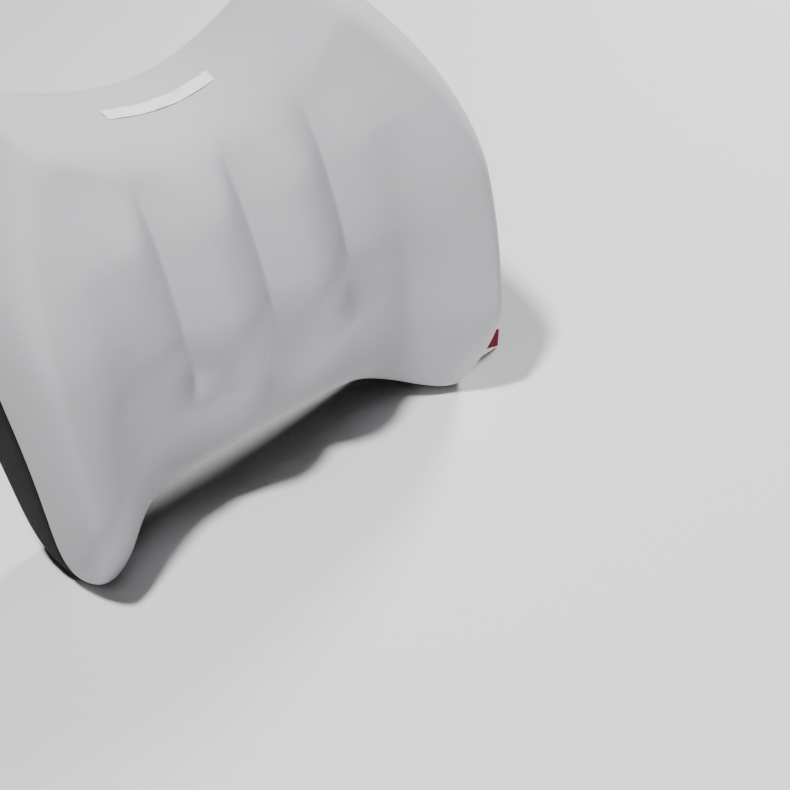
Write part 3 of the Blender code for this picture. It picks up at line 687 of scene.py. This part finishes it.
def rise(side, height, reach=0.161, tab=0.020, straight=0.100):
    """Flat tab, then an easy bend up to the straight middle."""
    u = np.linspace(0, 1, 60)
    along = reach - tab + (straight - reach + tab) * u
    bend = np.stack([side * along, LYING + (height - LYING) * smooth(0, 1, u)], -1)
    return np.concatenate([[[side * reach, LYING]], bend])


def wrap(side):
    """Half turn round a buckle bar."""
    turn = np.linspace(0, math.pi, 30)
    return np.stack([side * (BAR_X - LEG * np.sin(turn)), STRAP_OFF + LEG * np.cos(turn)], -1)


left = np.concatenate([rise(-1, STRAP_OFF + LEG), wrap(-1), [[-BAR_X - 0.032, STRAP_OFF - LEG]]])
right = np.concatenate([rise(1, STRAP_OFF), [[0.0623, STRAP_OFF]]])
loop = np.concatenate([[[BAR_X + 0.078, STRAP_OFF + LEG]], wrap(1), [[BAR_X + 0.0323, STRAP_OFF - LEG]]])
for name, path, node, body in (
    ("strap_sewn_left", left, "strap_left", "cushion"),
    ("strap_sewn_right", right, "strap_right", "cushion"),
    ("strap_adjuster", loop, "strap_loop", "male"),
):
    made = ribbon(name, path, STRAP_WIDTH, STRAP_THICK, STRAP_HEIGHT, WEB, body)
    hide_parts(node)

for side, word in ((-1, "left"), (1, "right")):
    outer = [(BOX_OUTER, -BOX_HALF), (BOX_OUTER, BOX_HALF)]
    corners = np.array(outer + [(BOX_INNER, BOX_HALF), (BOX_INNER, -BOX_HALF)])
    legs = [(corners[a], corners[b]) for a, b in ((0, 1), (1, 2), (2, 3), (3, 0), (0, 2), (1, 3))]
    starts, ends = [], []
    for a, b in legs:
        count = int(np.linalg.norm(b - a) / STITCH)
        for k in range(count):
            for store, at in ((starts, (k + 0.1) / count), (ends, (k + 0.9) / count)):
                x, z = a + (b - a) * at
                store.append((side * x, LYING + STRAP_THICK / 2 + 0.0001, STRAP_HEIGHT + z))
    box = stitches("box_stitching_" + word, starts, ends, THREAD_RADIUS, (0.0, 1.0, 0.0), THREAD, "cushion")

# ---- pieces kept from the frame ----
for node, look, width in (
    ("buckle_female", PLASTIC, 0.0007),
    ("buckle_male", PLASTIC, 0.0006),
    ("latch_arm_upper", PLASTIC, 0.0006),
    ("latch_arm_lower", PLASTIC, 0.0006),
    ("zip_slider", ENAMEL, 0.0002),
    ("zip_pull", ENAMEL, 0.0003),
    ("zip_stop_left", STEEL, 0.0003),
    ("zip_stop_right", STEEL, 0.0003),
    ("care_label", SATIN, 0.0),
    ("side_tag", TAG, 0.0002),
    ("transfer_mark", FILM, 0.0),
):
    made = NODES[node]
    made.data.materials.clear()
    made.data.materials.append(look)
    if width:
        step = made.modifiers.new("edges", "BEVEL")
        step.width, step.segments, step.limit_method, step.harden_normals = width, 3, "ANGLE", False
        made.data.polygons.foreach_set("use_smooth", np.ones(len(made.data.polygons), bool))

# ---- camera ----
AZIMUTH, ELEVATION, ROLL = math.radians(-28.24), math.radians(35.96), math.radians(-12.05)
TARGET, DISTANCE = Vector((0.1392, 0.0, -0.1512)), 1.740
out = math.cos(ELEVATION)
back = Vector((math.sin(AZIMUTH) * out, -math.cos(AZIMUTH) * out, math.sin(ELEVATION)))
across = Vector((math.cos(AZIMUTH), math.sin(AZIMUTH), 0.0))
up = back.cross(across)
level = across * math.cos(ROLL) + up * math.sin(ROLL)
plumb = up * math.cos(ROLL) - across * math.sin(ROLL)
camera = bpy.data.objects.new("camera", bpy.data.cameras.new("camera"))
camera.data.lens, camera.data.sensor_width = 102.3, 36.0
camera.data.clip_start, camera.data.clip_end = 0.05, 50.0
turned = Matrix((level, plumb, back)).transposed().to_4x4()
camera.matrix_world = Matrix.Translation(TARGET + back * DISTANCE) @ turned
bpy.context.scene.collection.objects.link(camera)
bpy.context.scene.camera = camera

# ---- floor and light ----
floor = bpy.data.objects.new("floor", bpy.data.meshes.new("floor"))
floor.data.from_pydata([(-6, -6, -FEET), (6, -6, -FEET), (6, 6, -FEET), (-6, 6, -FEET)], [], [(0, 1, 2, 3)])
floor.data.materials.append(finish("pale floor", (0.82, 0.82, 0.82), 0.9)[0])
bpy.context.scene.collection.objects.link(floor)


def lamp(name, place, aim, size, power):
    """Round soft lamp turned to its aim; power in watts."""
    light = bpy.data.lights.new(name, "AREA")
    light.shape, light.size, light.energy = "DISK", size, power
    made = bpy.data.objects.new(name, light)
    made.location = place
    made.rotation_mode = "QUATERNION"
    made.rotation_quaternion = (Vector(aim) - Vector(place)).to_track_quat("-Z", "Y")
    bpy.context.scene.collection.objects.link(made)


lamp("key", (-0.6, -0.8, 2.3), (0, -0.05, 0.02), 0.2, 96.0)
lamp("rim", (1.5, 0.3, 1.0), (0, -0.05, 0.05), 0.5, 36.0)
world = bpy.data.worlds.new("studio")
world.use_nodes = True
world.node_tree.nodes["Background"].inputs["Color"].default_value = (1.0, 1.0, 1.0, 1.0)
world.node_tree.nodes["Background"].inputs["Strength"].default_value = 0.03
bpy.context.scene.world = world
